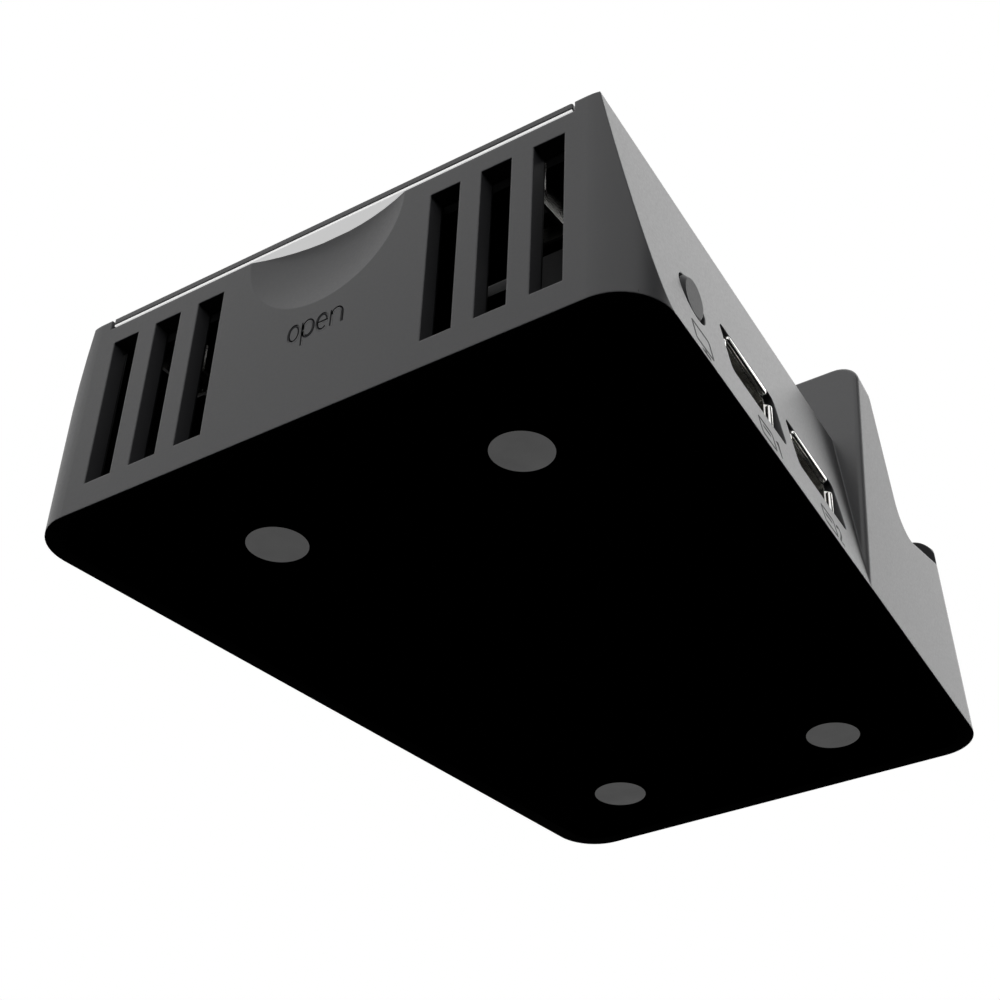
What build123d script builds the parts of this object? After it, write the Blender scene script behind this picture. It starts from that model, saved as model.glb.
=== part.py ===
from build123d import *
import os
from math import cos, radians, sin, sqrt, tan

# Dock for a handheld games console, in millimetres.
# +Z is up and the feet stand on z = 0. The console stands in the slot at the -Y end.
# The lid over the cable bay lifts at the +Y end. The side ports and the button are on -X.

os.makedirs("parts", exist_ok=True)

# Outline of the housing
rear_width = 84.0          # base width at the rear wall, measured to the square corners
depth = 107.2              # base length, front to rear
side_taper = 4.96          # each side closes in by this angle towards the front
rear_corner = 6.2          # plan radius of the rear corners
front_corner = 6.2         # radius of the front corners
rim_height = 0.95          # lower edge of the housing above the table
body_height = 29.7         # top of the lid above the table
body_lean = 10.4           # inward lean of the sides behind the cradle
wall = 2.3                 # wall of the housing

# Cradle that carries the console
cradle_lean = 2.3          # draft of the cradle sides
wing_foot = 45.9           # front edge to the foot of the cradle's rear face
wing_lean = 13.8           # the cradle's rear face leans forward by this angle
wing_height = 44.2         # top of the cradle over the backrest
top_rise = 8.0             # the cradle's top rises to the rear by this angle
console_lean = 16.5        # the console leans back by this angle
slot_root = 25.4           # front edge to the line where backrest and slot floor meet
slot_height = 21.0         # height of that line
slot_width = 18.6          # slot, backrest to lip
slot_blend = 5.0           # blend between backrest and slot floor
lip_height = 4.8           # lip above the slot floor
front_lean = 8.3           # the front face leans back by this angle
shoulder = 3.8             # rounding of the cradle's and the lip's upper corners
edge_round = 0.7           # rounding of the cradle's rear edges

# Vent slots in the rear wall, three on each side
vent_inset = 18.34         # housing's side to the middle slot
vent_pitch = 6.76
vent_width = 3.98
vent_bottom = 4.62
vent_drop = 2.68           # top of the wall to the slots' upper ends

# Thumb scoop, cut as part of a ball
scoop_half = 11.15
scoop_depth = 1.8
scoop_pad = 2.1            # extra wall behind the scoop
scoop_margin = 2.2

# Lid over the cable bay
lid_rail = 3.4             # housing's side to the lid, at the rear wall
lid_thickness = 1.1
lid_plate = 0.8            # thickness of the skin
lid_trim_inset = 0.45      # skin's edge to the pale trim under it
lid_gap = 0.32             # gap round the lid
strip_width = 5.16         # cradle to the lid's front edge
lid_corner = 0.25
ledge_width = 1.2          # step in the housing under the lid's sides
ledge_depth = 1.65
ledge_setback = 4.6        # hinge to the front end of the step
liner_thickness = 1.2      # lower deck of the liner
liner_inset = 2.0
liner_rear_inset = 4.8
liner_front_inset = 6.1
lid_vent_width = 1.5
lid_vent_length = 14.0
lid_vent_x = 15.0
lid_vent_setback = 17.9

# Lid hinge
hinge_setback = 3.0        # lid's front edge to the axis
hinge_drop = 2.6           # lid's top to the axis
pin_radius = 0.8
pin_play = 0.05
knuckle_radius = 1.6
knuckle_length = 6.0
knuckle_inset = 20.4       # housing's side to the knuckle, at the rear wall
ear_width = 2.2
ear_gap = 0.4
ear_half = 1.2            # half thickness of the ears below the axis
sweep_gap = 0.33           # clearance round the swinging front edge
bulkhead = 1.8
bulkhead_drop = 3.5        # hinge axis to the bulkhead's top
bulkhead_clear = 1.3       # free height over the board

# Lid catches
hook_inset = 8.3           # lid's side to the hook, at the rear wall
hook_setback = 7.6
hook_drop = 4.6
hook_top = 1.4
hook_bottom = 2.8
hook_thickness = 2.0
catch_gap = 0.3
catch_leaf = 0.4
catch_height = 4.0
catch_clear = 0.5
catch_foot = 1.4

# Bottom cover and feet
cover_gap = 0.12
cover_height = 0.75        # underside of the cover above the table
cover_thickness = 1.6
foot_inset = 25.08         # housing's side to the feet, at the rear wall
foot_rear = 16.2           # rear wall to the rear feet
foot_front = 15.3          # front edge to the front feet
foot_radius = 3.65
foot_pocket = 4.1
foot_seat = 0.8            # depth of the pocket
screw_head = 2.2
head_height = 1.4
screw_radius = 1.0
screw_length = 7.5
thread_play = 0.05
cup_wall = 1.0
cup_web = 1.0
boss_radius = 3.9
boss_top = 11.0

# Floor of the cable bay and the tray over the board
floor_bottom = 3.0
floor_thickness = 1.4
floor_front = 29.0         # rear wall to the floor's front edge
tray_thickness = 1.4
tray_height = 16.6
tray_wall = 1.2
tray_rear = 27.4           # rear wall to the tray's rear face
tray_leg_rear = 6.8        # rear wall to the tray's rear end beside the button

# Board
board_bottom = 6.4
board_thickness = 1.6
board_leg_rear = 8.6
board_gap = 0.5            # bulkhead to the board's front edge
post_x = 22.0
post_front = 5.2           # board's front edge to the front posts
post_rear = 5.7            # board's rear edge to the rear posts
leg_post_setback = 20.0
post_radius = 2.2

# Type A ports in the side
port_places = (0.518, 0.835)   # share of the side between rear corner and hinge
port_opening_width = 15.6
port_opening_height = 7.4
port_opening_corner = 1.0
port_opening_drop = 0.2    # opening's middle below the port's
port_recess = 1.25
port_shell_width = 13.1
port_shell_height = 5.7
port_shell_length = 13.6
port_shell_wall = 0.35
port_shell_corner = 0.7
port_back = 2.6
flare_out = 0.55           # how far the mouth's sprung lips reach out
flare_up = 0.45            # how far they spread
flare_long = 11.4
flare_short = 3.8
tongue_width = 11.1
tongue_height = 1.9
tongue_length = 8.8
tongue_drop = 0.7

# Ports in the bay
video_x = -4.0
video_width = 15.0
video_height = 6.0
video_length = 11.3
video_chamfer = 1.8
video_tongue = 10.6
power_x = 13.0
power_width = 8.94
power_height = 3.26
power_length = 7.4
power_tongue = 6.0
bay_port_wall = 0.35
bay_port_back = 1.8
window_gap = 0.4
face_setback = 0.2

# Button and its switch
button_place = 0.2416      # share of the side between rear corner and hinge
button_z = 10.1
button_radius = 2.7
button_gap = 0.35
button_rise = 0.28         # height of the button's face over the side
button_edge = 0.45
button_travel = 0.6
guide_wall = 1.4
guide_length = 5.0
flange_radius = 3.8
flange_thickness = 0.9
flange_gap = 0.35
nub_length = 0.6
nub_radius = 1.3
plunger_radius = 1.2
plunger_length = 1.7
switch_gap = 0.3
switch_width = 6.2
switch_depth = 3.6

# Cable outlet in the +X side
outlet_along = 14.6
outlet_z = 15.6
outlet_length = 14.8
outlet_height = 5.4

# Console plug, its sleeve and carrier
plug_from_back = 8.6
plug_width = 8.3
plug_thickness = 2.45
plug_wall = 0.3
plug_height = 7.2
plug_root = 6.0
plug_depth = 6.2
sleeve_width = 13.4
sleeve_thickness = 6.4
sleeve_gap = 0.3
sleeve_rise = 0.8
carrier_gap = 3.02           # between the carrier and each screw boss beside it
carrier_depth = 9.6
carrier_height = 8.0
flex_width = 10.0
flex_thickness = 0.3
flex_bend = 2.0
flex_lap = 7.0

# Soft pads in the slot
pad_thickness = 0.8
back_pad_half = 24.0
back_pad_start = 8.0
back_pad_drop = 4.2        # cradle's top to the pad, along the backrest
floor_pad_x = 19.0
floor_pad_length = 13.0
floor_pad_start = 6.4
floor_pad_end = 16.0

# Parts on the board
chip_size = 8.0
chip_height = 1.2
chip_gap = 1.0             # between a bay port and the chip behind it
ribbon_gap = 1.5           # between the ribbon and the chip beside it
hub_size = 7.5
hub_x = 12.0
coil_radius = 3.5
coil_inset = 19.0            # housing's square corner to the coil's centre
coil_height = 4.0
fit_gap = 0.3              # clearance between fixed pieces

# Derived places
rear_y = depth / 2
front_y = -depth / 2
taper_tan = tan(radians(side_taper))
taper_cos = cos(radians(side_taper))
taper_sin = sin(radians(side_taper))
lean_sin = sin(radians(console_lean))
lean_cos = cos(radians(console_lean))
reach = 3 * max(rear_width, depth)
block_height = 2 * wing_height


def half_width(y):
    return rear_width / 2 - (rear_y - y) * taper_tan


def side_x(y, z, lean):
    return half_width(y) - (z - rim_height) * tan(radians(lean)) / taper_cos


def wing_y(z):
    return front_y + wing_foot - (z - rim_height) * tan(radians(wing_lean))


floor_top = floor_bottom + floor_thickness
board_top = board_bottom + board_thickness
port_z = board_top + port_shell_height / 2
switch_height = 2 * (button_z - board_top)
cover_top = cover_height + cover_thickness
pocket_top = cover_height + foot_seat
head_top = pocket_top + head_height
cup_top = head_top + cup_web
cup_radius = screw_head + 0.2 + cup_wall
wall_top = body_height - lid_thickness - lid_gap
vent_top = wall_top - vent_drop
vent_center = rear_width / 2 - vent_inset
lid_half = side_x(rear_y, body_height, body_lean) - lid_rail
pocket_half = lid_half + lid_gap
lid_front = wing_y(body_height) + strip_width
hinge_y = lid_front + hinge_setback
hinge_z = body_height - hinge_drop
side_room = (rear_y - hinge_y) / taper_cos
knuckle_center = rear_width / 2 - knuckle_inset
hook_x = lid_half - hook_inset
foot_x = rear_width / 2 - foot_inset
bulkhead_height = hinge_z - bulkhead_drop
bulkhead_rear = hinge_y + bulkhead / 2
leg_edge = foot_x + boss_radius + fit_gap
board_front = bulkhead_rear + board_gap
board_rear = rear_y - tray_rear - tray_wall - fit_gap
post_ys = (board_front + post_front, board_rear - post_rear)
board_posts = [(x, y) for x in (-post_x, post_x) for y in post_ys]
front_radius = sqrt(hinge_setback ** 2 + hinge_drop ** 2)
wing_top_v = (wing_height - slot_height) / lean_cos
backrest_y = front_y + slot_root + (body_height - slot_height) * lean_sin / lean_cos
body_end = (wing_y(body_height) + backrest_y) / 2


def side_plane(sign, lean, inset=0.0):
    a = radians(lean)
    normal = Vector(sign * cos(a) * taper_cos, -cos(a) * taper_sin, sin(a))
    corner = Vector(sign * rear_width / 2, rear_y, rim_height)
    return Plane(origin=corner - normal * inset, z_dir=normal)


def beyond(plane):
    return plane * Box(reach, reach, reach, align=(Align.CENTER, Align.CENTER, Align.MIN))


def tapered(half, y_rear, y_front, z_low, z_high):
    # block that closes in with the sides; half is its half width at the rear wall
    corners = []
    for sign, y in ((1, y_rear), (-1, y_rear), (-1, y_front), (1, y_front)):
        corners.append((sign * (half - (rear_y - y) * taper_tan), y))
    return Pos(0, 0, z_low) * extrude(Polygon(*corners, align=None), amount=z_high - z_low)


def side_frame(sign, along, z, lean=body_lean):
    # x runs forward along the side, y up, z out of the housing
    y = rear_y - along * taper_cos
    outward = Vector(sign * taper_cos, -taper_sin, 0)
    forward = Vector(-sign * taper_sin, -taper_cos, 0)
    if sign > 0:
        forward = forward * -1
    return Plane(origin=(sign * side_x(y, z, lean), y, z), x_dir=forward, z_dir=outward)


slot_frame = Plane(
    origin=(0, front_y + slot_root, slot_height),
    x_dir=(0, -lean_cos, lean_sin),
    z_dir=(-1, 0, 0),
)
wing_normal = Vector(0, cos(radians(wing_lean)), sin(radians(wing_lean)))
wing_plane = Plane(origin=(0, front_y + wing_foot, rim_height), z_dir=wing_normal)
front_normal = Vector(0, -cos(radians(front_lean)), sin(radians(front_lean)))
front_plane = Plane(origin=(0, front_y, rim_height), z_dir=front_normal)
top_normal = Vector(0, -sin(radians(top_rise)), cos(radians(top_rise)))
top_plane = Plane(origin=slot_frame.origin + slot_frame.y_dir * wing_top_v, z_dir=top_normal)


def moved_in(plane, inset):
    return Plane(origin=plane.origin - plane.z_dir * inset, z_dir=plane.z_dir)


def plan_block(inset):
    # the plan with rounded rear corners, high enough for the cradle
    low = rim_height if inset == 0 else 0.0
    normal_inset = inset / taper_cos
    corners = []
    for sign, y in ((1, rear_y - inset), (-1, rear_y - inset), (-1, front_y), (1, front_y)):
        corners.append((sign * (half_width(y) - normal_inset), y))
    block = Pos(0, 0, low) * extrude(Polygon(*corners, align=None), amount=block_height - low)
    return fillet(block.edges().filter_by(Axis.Z).group_by(Axis.Y)[-1], rear_corner - inset)


def below(height):
    return Pos(0, 0, height - reach / 2) * Box(reach, reach, reach)


def body_block(inset):
    # the low part behind the cradle, or the same form with every wall set in
    block = plan_block(inset) & below(body_height - inset)
    for sign in (1, -1):
        block -= beyond(side_plane(sign, body_lean, inset))
    return block - Pos(0, body_end - reach / 2, 0) * Box(reach, reach, reach)


def cradle_block(inset):
    # the high part with the slot, or the same form with every wall set in
    block = plan_block(inset)
    block -= beyond(moved_in(top_plane, inset))
    block -= beyond(moved_in(front_plane, inset))
    for sign in (1, -1):
        block -= beyond(side_plane(sign, cradle_lean, inset))
    upright = block.edges().filter_by(
        lambda e: abs(e.tangent_at(0.5).Z) > 0.8 and e.center().Y < front_y / 2
    )
    block = fillet(upright, front_corner - inset)
    block -= beyond(moved_in(wing_plane, inset))
    outline = [(-inset, -inset), (slot_width + inset, -inset), (slot_width + inset, lip_height - inset)]
    outline += [(reach, lip_height - inset), (reach, reach), (-inset, reach)]
    slot_face = Polygon(*outline, align=None)
    slot_face = fillet(slot_face.vertices().sort_by_distance((-inset, -inset, 0))[0], slot_blend + inset)
    return block - extrude(slot_frame * slot_face, amount=reach / 2, both=True)


def on_wing(edge):
    # outer edges of the cradle's rear face
    points = [wing_plane.to_local_coords(edge @ t).Z for t in (0, 0.5, 1)]
    return max(abs(z) for z in points) < 0.01 and edge.center().Z > rim_height + 1


def round_end(sign):
    # what is cut away to round an upper corner of the lip, extruded along the slot
    square = Pos(sign * (lip_half - shoulder + reach / 2), reach / 2 - shoulder) * Rectangle(reach, reach)
    start = slot_frame.origin + slot_frame.x_dir * (slot_width - 1.0) + slot_frame.y_dir * lip_height
    plane = Plane(origin=start, x_dir=(1, 0, 0), z_dir=slot_frame.x_dir)
    face = square - Pos(sign * (lip_half - shoulder), -shoulder) * Circle(shoulder)
    return extrude(plane * face, amount=reach / 2)


def box_between(x, y, z):
    size = [max(pair) - min(pair) for pair in (x, y, z)]
    middle = [(pair[0] + pair[1]) / 2 for pair in (x, y, z)]
    return Pos(*middle) * Box(*size)


def rod(radius, place, z_low, z_high):
    return Pos(place[0], place[1], z_low) * extrude(Circle(radius), amount=z_high - z_low)


def cross_rod(radius, x_low, x_high):
    # round bar on the hinge axis
    start = Plane(origin=(x_low, hinge_y, hinge_z), z_dir=(1, 0, 0))
    return start * extrude(Circle(radius), amount=x_high - x_low)


def bar(face, frame, start, end):
    # face drawn in a side frame, extruded between two distances inside the surface
    inner = Plane(origin=frame.origin - frame.z_dir * end, x_dir=frame.x_dir, z_dir=frame.z_dir)
    return extrude(inner * face, amount=end - start)


lip_y = slot_frame.origin.Y - slot_width * lean_cos + lip_height * lean_sin
lip_z = slot_height + slot_width * lean_sin + lip_height * lean_cos
lip_half = side_x(lip_y, lip_z, cradle_lean)

cavity = body_block(wall) + cradle_block(wall)
room = body_block(wall + fit_gap) + cradle_block(wall + fit_gap)
cradle = cradle_block(0)
top_corners = cradle.edges().filter_by(
    lambda e: e.center().Z > wing_height - 0.1 and abs(e.center().X) > rear_width / 3
)
cradle = fillet(top_corners, shoulder)
cradle = fillet(cradle.edges().filter_by(on_wing), edge_round)
for sign in (1, -1):
    cradle -= round_end(sign)
outer = body_block(0) + cradle

# Main shell: walls, ledge under the lid, pocket for the lid, strip in front of it
scoop_low = wall_top - scoop_half - scoop_margin
ledge_end = hinge_y + ledge_setback
ledge = tapered(pocket_half + wall, rear_y, ledge_end, wall_top - ledge_depth, wall_top)
ledge -= tapered(pocket_half - ledge_width, rear_y + 1, ledge_end - 1, 0, body_height)
hollow = cavity - ledge
hollow -= box_between(
    (-scoop_half - scoop_margin, scoop_half + scoop_margin),
    (rear_y - wall - scoop_pad, rear_y),
    (scoop_low, wall_top),
)
shell = outer - hollow
swing = cross_rod(front_radius + sweep_gap, -reach / 2, reach / 2)
pocket_front = hinge_y - front_radius - sweep_gap
pocket = tapered(pocket_half, rear_y, hinge_y, wall_top, body_height + 1)
pocket += Pos(0, rear_y, 0) * box_between(
    (-pocket_half, pocket_half), (-0.01, wall), (wall_top, body_height + 1)
)
bay_half = pocket_half - (rear_y - hinge_y - front_radius) * taper_tan
front_bay = box_between(
    (-bay_half, bay_half), (pocket_front - 1, hinge_y + 0.01), (wall_top - wall, body_height + 1)
)
pocket += front_bay & swing
pocket += front_bay & box_between((-reach, reach), (hinge_y - 1, hinge_y + 1), (hinge_z, body_height + 1))
shell -= pocket
inside = tapered(
    pocket_half - ledge_width, rear_y - wall - scoop_pad, hinge_y, wall_top - wall, wall_top + 1
)
inside += tapered(pocket_half, ledge_end, hinge_y, wall_top - wall, wall_top + 1)
for sign in (1, -1):
    beside = tapered(
        pocket_half - ledge_width,
        rear_y - wall,
        rear_y - wall - scoop_pad - 1,
        wall_top - wall,
        wall_top + 1,
    )
    cut_x = sign * (scoop_half + scoop_margin)
    inside += beside & box_between((cut_x, sign * reach), (0, rear_y), (0, body_height))
shell -= inside

# Scoop and vents in the rear wall
scoop_radius = (scoop_half ** 2 + scoop_depth ** 2) / (2 * scoop_depth)
scoop = Pos(0, rear_y + scoop_radius - scoop_depth, wall_top) * Sphere(scoop_radius)
shell -= scoop & box_between((-reach, reach), (0, reach), (0, wall_top))
for side in (-1, 1):
    for step in (-1, 0, 1):
        x = side * vent_center + step * vent_pitch
        shell -= box_between(
            (x - vent_width / 2, x + vent_width / 2),
            (rear_y - wall - 1, rear_y + 1),
            (vent_bottom, vent_top),
        )

# Openings in the sides
port_frames = [side_frame(-1, share * side_room, port_z) for share in port_places]
for frame in port_frames:
    opening = RectangleRounded(port_opening_width, port_opening_height, port_opening_corner)
    shell -= bar(Pos(0, -port_opening_drop) * opening, frame, -2, wall + 2)
button_frame = side_frame(-1, button_place * side_room, button_z)
guide = Circle(button_radius + button_gap + guide_wall)
shell += bar(guide, button_frame, wall / 2, guide_length) & cavity
shell -= bar(Circle(button_radius + button_gap), button_frame, -2, guide_length + 1)
outlet_frame = side_frame(1, outlet_along, outlet_z)
shell -= bar(SlotOverall(outlet_length, outlet_height), outlet_frame, -2, wall + 2)

# Floor of the cable bay
floor_low_y = rear_y - floor_front
shell += cavity & box_between((-reach, reach), (floor_low_y, rear_y), (floor_bottom, floor_top))

# Screw bosses
feet = [(sx * foot_x, y) for y in (rear_y - foot_rear, front_y + foot_front) for sx in (-1, 1)]
for place in feet:
    rear = place[1] > 0
    if rear:
        shell -= rod(cup_radius + fit_gap, place, 0, cup_top)
    top = boss_top if rear else slot_height + slot_width
    post = rod(boss_radius, place, cup_top, top)
    shell += post if rear else post & cavity
    shell -= rod(screw_radius + thread_play, place, 0, head_top + screw_length + 0.5)
leg_post = (-(leg_edge + (rear_width / 2 - leg_edge) / 2), rear_y - leg_post_setback)
shell += rod(post_radius, leg_post, floor_top, board_bottom)

# Bulkhead with the lid's hinge ears
shell += cavity & box_between(
    (-reach, reach),
    (hinge_y - bulkhead / 2, bulkhead_rear),
    (board_top + bulkhead_clear, bulkhead_height),
)
ear_offset = knuckle_length / 2 + ear_gap
ears = []
for side in (-1, 1):
    for out in (-1, 1):
        near = side * (knuckle_center + out * ear_offset)
        far = side * (knuckle_center + out * (ear_offset + ear_width))
        ears.append((min(near, far), max(near, far)))
for low, high in ears:
    shell += cross_rod(knuckle_radius, low, high)
    shell += box_between(
        (low, high), (hinge_y - ear_half, hinge_y + ear_half), (bulkhead_height - 4, hinge_z)
    )
    shell -= cross_rod(pin_radius, low - 0.01, high + 0.01)

# Opening for the plug in the slot floor
plug_plane = Plane(
    origin=slot_frame.origin + slot_frame.x_dir * plug_from_back,
    x_dir=(1, 0, 0),
    z_dir=slot_frame.y_dir,
)


def up_slot(face, low, high):
    # face drawn square to the plug, extruded between two heights over the slot floor
    return extrude(plug_plane.offset(low) * face, amount=high - low)


sleeve_hole = SlotOverall(sleeve_width + 2 * sleeve_gap, sleeve_thickness + 2 * sleeve_gap)
shell -= up_slot(sleeve_hole, -wall - 1, 3)

# Bottom cover
cover = body_block(wall + cover_gap) + cradle_block(wall + cover_gap)
cover &= box_between((-reach, reach), (-reach, reach), (cover_height, cover_top))
for place in feet:
    cover += rod(cup_radius, place, cover_top - 0.2, cup_top)
    cover -= rod(foot_pocket, place, 0, pocket_top)
    cover -= rod(screw_head + 0.2, place, 0, head_top)
    cover -= rod(screw_radius + thread_play, place, 0, cup_top + 1)
for place in board_posts:
    cover += rod(post_radius, place, cover_top - 0.2, board_bottom)

# Lid: skin with hinge knuckles, liner with hooks
lid_low = body_height - lid_thickness
plate_low = body_height - lid_plate
skin = tapered(lid_half, rear_y, lid_front, plate_low, body_height)
skin = fillet(skin.edges().filter_by(Axis.Z), lid_corner)
for side in (-1, 1):
    low = side * knuckle_center - knuckle_length / 2
    high = side * knuckle_center + knuckle_length / 2
    skin += cross_rod(knuckle_radius, low, high)
    skin += box_between((low, high), (hinge_y - ear_half, hinge_y + ear_half), (hinge_z, plate_low + 0.1))
    skin -= cross_rod(pin_radius + pin_play, low - 0.01, high + 0.01)
liner_front = lid_front + liner_front_inset
deck_low = lid_low - liner_thickness
liner = tapered(lid_half - liner_inset, rear_y - liner_rear_inset, liner_front, deck_low, plate_low)
trim = tapered(lid_half - lid_trim_inset, rear_y - lid_trim_inset, liner_front, lid_low, plate_low)
trim -= tapered(
    lid_half - liner_inset, rear_y - liner_rear_inset, liner_front - 1, lid_low - 1, body_height
)
for side in (-1, 1):
    slit = Pos(side * lid_vent_x, rear_y - lid_vent_setback, deck_low - 1) * extrude(
        SlotOverall(lid_vent_length, lid_vent_width), amount=reach / 10
    )
    skin -= slit
    liner -= slit
    low_edge = deck_low - hook_drop
    hook_face = Polygon(
        (-hook_bottom / 2, low_edge),
        (hook_bottom / 2, low_edge),
        (hook_top / 2, deck_low + 0.2),
        (-hook_top / 2, deck_low + 0.2),
        align=None,
    )
    hook_plane = Plane(
        origin=(side * hook_x, rear_y - hook_setback - hook_thickness / 2, 0),
        x_dir=(-1, 0, 0),
        z_dir=(0, 1, 0),
    )
    liner += extrude(hook_plane * hook_face, amount=hook_thickness)

# Hinge pins and catch springs
pins = [cross_rod(pin_radius, ears[0][0], ears[1][1]), cross_rod(pin_radius, ears[2][0], ears[3][1])]
springs = []
for side in (-1, 1):
    x_out = hook_bottom / 2 + catch_gap + catch_leaf / 2
    y_wall = rear_y - wall
    y_front = rear_y - hook_setback - hook_thickness / 2 - catch_gap - catch_leaf / 2 - catch_clear
    y_end = rear_y - hook_setback + hook_thickness / 2 + 0.4
    path = Polyline(
        (side * (hook_x + x_out + catch_foot), y_wall - catch_leaf / 2),
        (side * (hook_x + x_out), y_wall - catch_leaf / 2),
        (side * (hook_x + x_out), y_front),
        (side * (hook_x - x_out), y_front),
        (side * (hook_x - x_out), y_end),
    )
    strip = trace(path, line_width=catch_leaf)
    springs.append(Pos(0, 0, deck_low - hook_drop - 1.2) * extrude(strip, amount=catch_height))

# Board, tray over it and parts on the board
leg_inner = -leg_edge
tray_front = bulkhead_rear + fit_gap
board_plan = Polygon(
    (-reach, rear_y - board_leg_rear),
    (leg_inner - tray_wall - fit_gap, rear_y - board_leg_rear),
    (leg_inner - tray_wall - fit_gap, board_rear),
    (reach, board_rear),
    (reach, board_front),
    (-reach, board_front),
    align=None,
)
board = room & (Pos(0, 0, board_bottom) * extrude(board_plan, amount=board_thickness, dir=(0, 0, 1)))
notch_half = button_radius + button_gap + guide_wall + fit_gap
notch_end = guide_length + flange_gap + flange_thickness + button_travel + fit_gap
board -= bar(Rectangle(2 * notch_half, 2 * button_z), button_frame, -wall, notch_end)


def tray_plan(shrink):
    return Polygon(
        (-reach, rear_y - tray_leg_rear - shrink),
        (leg_inner - shrink, rear_y - tray_leg_rear - shrink),
        (leg_inner - shrink, rear_y - tray_rear - shrink),
        (reach, rear_y - tray_rear - shrink),
        (reach, tray_front),
        (-reach, tray_front),
        align=None,
    )


tray = Pos(0, 0, floor_top) * extrude(tray_plan(0), amount=tray_height - floor_top, dir=(0, 0, 1))
tray -= extrude(tray_plan(tray_wall), amount=tray_height - tray_thickness, dir=(0, 0, 1))
tray = tray & room
video_frame = Plane(
    origin=(video_x, rear_y - tray_rear, board_top + video_height / 2), x_dir=(-1, 0, 0), z_dir=(0, 1, 0)
)
power_frame = Plane(
    origin=(power_x, rear_y - tray_rear, board_top + power_height / 2), x_dir=(-1, 0, 0), z_dir=(0, 1, 0)
)


def video_profile(shrink):
    half = video_width / 2 - shrink
    high = video_height / 2 - shrink
    cut = video_chamfer
    return Polygon(
        (-half, high), (-half, -high + cut), (-half + cut, -high),
        (half - cut, -high), (half, -high + cut), (half, high),
        align=None,
    )


tray -= bar(video_profile(-window_gap), video_frame, -1, tray_wall + 1)
power_window = SlotOverall(power_width + 2 * window_gap, power_height + 2 * window_gap)
tray -= bar(power_window, power_frame, -1, tray_wall + 1)
video = bar(video_profile(0), video_frame, face_setback, video_length)
video -= bar(video_profile(bay_port_wall), video_frame, face_setback - 1, video_length - bay_port_back)
video_blade = bar(
    Rectangle(video_tongue, 1.2), video_frame, face_setback + 1.0, video_length - bay_port_back
)
power = bar(SlotOverall(power_width, power_height), power_frame, face_setback, power_length)
power -= bar(
    SlotOverall(power_width - 2 * bay_port_wall, power_height - 2 * bay_port_wall),
    power_frame, face_setback - 1, power_length - bay_port_back,
)
power_blade = bar(
    Rectangle(power_tongue, 0.7), power_frame, face_setback + 1.0, power_length - bay_port_back
)



def flare(frame, along, half, length):
    # the two sprung lips that stand across this direction at a socket's mouth
    plane = Plane(origin=frame.origin - frame.z_dir * port_recess, x_dir=frame.z_dir, z_dir=along)
    lips = []
    for sign in (1, -1):
        inner = half - port_shell_wall
        points = [(-0.3, inner), (0, inner), (flare_out, inner + flare_up)]
        points += [(flare_out - 0.2, half + flare_up), (0, half), (-0.3, half)]
        face = Polygon(*[(x, sign * y) for x, y in points], align=None)
        lips.append(extrude(plane * face, amount=length / 2, both=True))
    return lips


port_shells = []
port_blades = []
for frame in port_frames:
    end = port_recess + port_shell_length
    outline = RectangleRounded(port_shell_width, port_shell_height, port_shell_corner)
    body = bar(outline, frame, port_recess, end)
    mouth = RectangleRounded(
        port_shell_width - 2 * port_shell_wall,
        port_shell_height - 2 * port_shell_wall,
        port_shell_corner - port_shell_wall,
    )
    body -= bar(mouth, frame, port_recess - 1, end - port_back)
    body += flare(frame, frame.x_dir, port_shell_height / 2, flare_long)
    body += flare(frame, frame.y_dir, port_shell_width / 2, flare_short)
    port_shells.append(body)
    blade_y = port_shell_height / 2 - port_shell_wall - tongue_drop - tongue_height / 2
    blade = Pos(0, blade_y) * Rectangle(tongue_width, tongue_height)
    port_blades.append(bar(blade, frame, end - port_back - tongue_length, end - port_back))

# Button, plunger and switch
flange_start = guide_length + flange_gap
flange_end = flange_start + flange_thickness
nub_end = flange_end + nub_length
plunger_end = nub_end + plunger_length
switch_front = nub_end + button_travel + switch_gap
button = bar(Circle(button_radius), button_frame, -button_rise, flange_end)
button = chamfer(button.edges().sort_by(lambda e: e.center().X)[0], button_edge)
button += bar(Circle(flange_radius), button_frame, flange_start, flange_end)
button += bar(Circle(nub_radius), button_frame, flange_end - 0.1, nub_end)
plunger = bar(Circle(plunger_radius), button_frame, nub_end, plunger_end)
switch_face = Rectangle(switch_width, switch_height)
switch = bar(switch_face, button_frame, switch_front, switch_front + switch_depth)
switch -= bar(
    Circle(plunger_radius + switch_gap),
    button_frame,
    switch_front - 1,
    plunger_end + button_travel + switch_gap,
)

# Console plug with its sleeve, carrier and ribbon
plug = up_slot(SlotOverall(plug_width, plug_thickness), -plug_root, plug_height)
plug -= up_slot(
    SlotOverall(plug_width - 2 * plug_wall, plug_thickness - 2 * plug_wall),
    plug_height - plug_depth,
    plug_height + 1,
)
sleeve = up_slot(SlotOverall(sleeve_width, sleeve_thickness), -wall, sleeve_rise)
sleeve = chamfer(sleeve.faces().sort_by_distance(plug_plane.offset(sleeve_rise).origin)[0].edges(), 0.3)
sleeve -= up_slot(SlotOverall(plug_width, plug_thickness), -wall - 1, sleeve_rise + 1)
carrier_width = 2 * (foot_x - boss_radius - carrier_gap)
carrier = up_slot(Rectangle(carrier_width, carrier_depth), -wall - carrier_height, -wall)
carrier -= up_slot(SlotOverall(plug_width, plug_thickness), -plug_root, 0)
ribbon_top = plug_plane.offset(-wall - carrier_height).origin
down = (ribbon_top.Z - board_top - flex_thickness / 2) / lean_cos
ribbon_path = FilletPolyline(
    (ribbon_top.Y, ribbon_top.Z),
    (ribbon_top.Y - down * lean_sin, board_top + flex_thickness / 2),
    (board_front + flex_lap, board_top + flex_thickness / 2),
    radius=flex_bend,
)
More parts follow.
